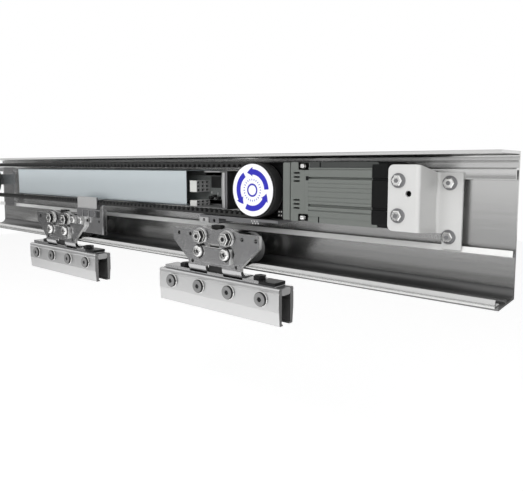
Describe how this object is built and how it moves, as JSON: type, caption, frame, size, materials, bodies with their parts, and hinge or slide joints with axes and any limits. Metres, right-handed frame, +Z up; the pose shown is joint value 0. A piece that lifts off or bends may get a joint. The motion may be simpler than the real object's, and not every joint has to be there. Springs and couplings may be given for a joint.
{
  "type": "sliding door operator",
  "caption": "Belt driven sliding door operator on an extruded beam, with finned gear motor, covered controller and wheeled hangers that carry glass clamps.",
  "frame": {"origin": "middle of the face that rests on the wall", "axes": "+X along the beam towards the motor, +Y into the wall, +Z up"},
  "size_m": [0.96, 0.0754, 0.1804],
  "materials": {
    "anodised": "glossy anodised extrusion",
    "satin_alu": "satin anodised extrusion",
    "zinc": "bright zinc plate",
    "dark_steel": "dull dark steel sheet",
    "black_steel": "black oxide",
    "black_cast": "satin black casting",
    "motor_grey": "satin grey green anodised",
    "white_steel": "satin white coated sheet",
    "belt_rubber": "matte black toothed belt",
    "pale_cover": "satin pale blue grey",
    "board_green": "circuit board",
    "white_plastic": "natural nylon",
    "pulley_alu": "machined",
    "label_white": "printed disc, white with blue marks",
    "clip_grey": "satin light grey casting",
    "black_plastic": "black nylon",
    "wheel_grey": "light grey nylon running wheel",
    "liner_rubber": "black rubber sheet"
  },
  "bodies": {
    "track": {"beam": "anodised", "drive_base": "dark_steel", "gearbox": "black_cast", "motor_flange": "motor_grey", "vent_cap": "motor_grey", "motor_housing": "motor_grey", "motor_end_cap": "black_cast", "motor_screws": "zinc", "motor_bracket": "white_steel", "bracket_bolts": "zinc", "slot_nuts": "dark_steel", "belt": "belt_rubber", "chassis": "dark_steel", "cover": "pale_cover", "circuit_board": "board_green", "connectors": "white_plastic", "chassis_screws": "zinc", "idler_bracket": "dark_steel", "idler_axle": "zinc", "tension_screw": "zinc"},
    "drive_pulley": {"drive_pulley": "pulley_alu", "pulley_label": "label_white", "drive_shaft": "zinc"},
    "idler_pulley": {"idler_pulley": "pulley_alu"},
    "left_hanger": {"left_plate": "zinc", "left_strap": "zinc", "left_axles": "zinc", "left_nuts": "zinc", "left_block": "black_plastic", "left_bar": "zinc", "left_black_bolts": "black_steel", "left_jaw_front": "satin_alu", "left_jaw_back": "satin_alu", "left_spacer": "dark_steel", "left_liners": "liner_rubber", "left_clamp_bolts": "zinc", "clip_plate": "zinc", "clip_block": "clip_grey", "clip_screws": "zinc"},
    "right_hanger": {"right_plate": "zinc", "right_strap": "zinc", "right_axles": "zinc", "right_nuts": "zinc", "right_block": "black_plastic", "right_bar": "zinc", "right_black_bolts": "black_steel", "right_jaw_front": "satin_alu", "right_jaw_back": "satin_alu", "right_spacer": "dark_steel", "right_liners": "liner_rubber", "right_clamp_bolts": "zinc"},
    "left_wheel_a": {"left_wheel_a": "wheel_grey"},
    "left_wheel_b": {"left_wheel_b": "wheel_grey"},
    "right_wheel_a": {"right_wheel_a": "wheel_grey"},
    "right_wheel_b": {"right_wheel_b": "wheel_grey"}
  },
  "joints": [
    {"name": "left_hanger_slide", "type": "slide", "parent": "track", "child": "left_hanger", "axis": [1, 0, 0], "range_m": [-0.22, 0.16]},
    {"name": "right_hanger_slide", "type": "slide", "parent": "track", "child": "right_hanger", "axis": [1, 0, 0], "range_m": [-0.22, 0.16]},
    {"name": "drive_pulley_turn", "type": "hinge", "parent": "track", "child": "drive_pulley", "pos_m": [0.229, -0.05, 0.026], "axis": [0, 1, 0], "range_deg": [-320, 440]},
    {"name": "idler_pulley_turn", "type": "hinge", "parent": "track", "child": "idler_pulley", "pos_m": [-0.43, -0.05, 0.026], "axis": [0, 1, 0], "range_deg": [-320, 440]},
    {"name": "left_wheel_a_turn", "type": "hinge", "parent": "left_hanger", "child": "left_wheel_a", "pos_m": [-0.177, -0.027, -0.0435], "axis": [0, 1, 0], "range_deg": [-835, 610]},
    {"name": "left_wheel_b_turn", "type": "hinge", "parent": "left_hanger", "child": "left_wheel_b", "pos_m": [-0.135, -0.027, -0.0435], "axis": [0, 1, 0], "range_deg": [-835, 610]},
    {"name": "right_wheel_a_turn", "type": "hinge", "parent": "right_hanger", "child": "right_wheel_a", "pos_m": [0.156, -0.027, -0.0435], "axis": [0, 1, 0], "range_deg": [-835, 610]},
    {"name": "right_wheel_b_turn", "type": "hinge", "parent": "right_hanger", "child": "right_wheel_b", "pos_m": [0.198, -0.027, -0.0435], "axis": [0, 1, 0], "range_deg": [-835, 610]}
  ],
  "couplings": [
    {"joint": "right_hanger_slide", "follows": "left_hanger_slide", "ratio": 1},
    {"joint": "drive_pulley_turn", "follows": "left_hanger_slide", "rad_per_m": -34.483},
    {"joint": "idler_pulley_turn", "follows": "left_hanger_slide", "rad_per_m": -34.483},
    {"joint": "left_wheel_a_turn", "follows": "left_hanger_slide", "rad_per_m": 65.79},
    {"joint": "left_wheel_b_turn", "follows": "left_hanger_slide", "rad_per_m": 65.79},
    {"joint": "right_wheel_a_turn", "follows": "left_hanger_slide", "rad_per_m": 65.79},
    {"joint": "right_wheel_b_turn", "follows": "left_hanger_slide", "rad_per_m": 65.79}
  ]
}
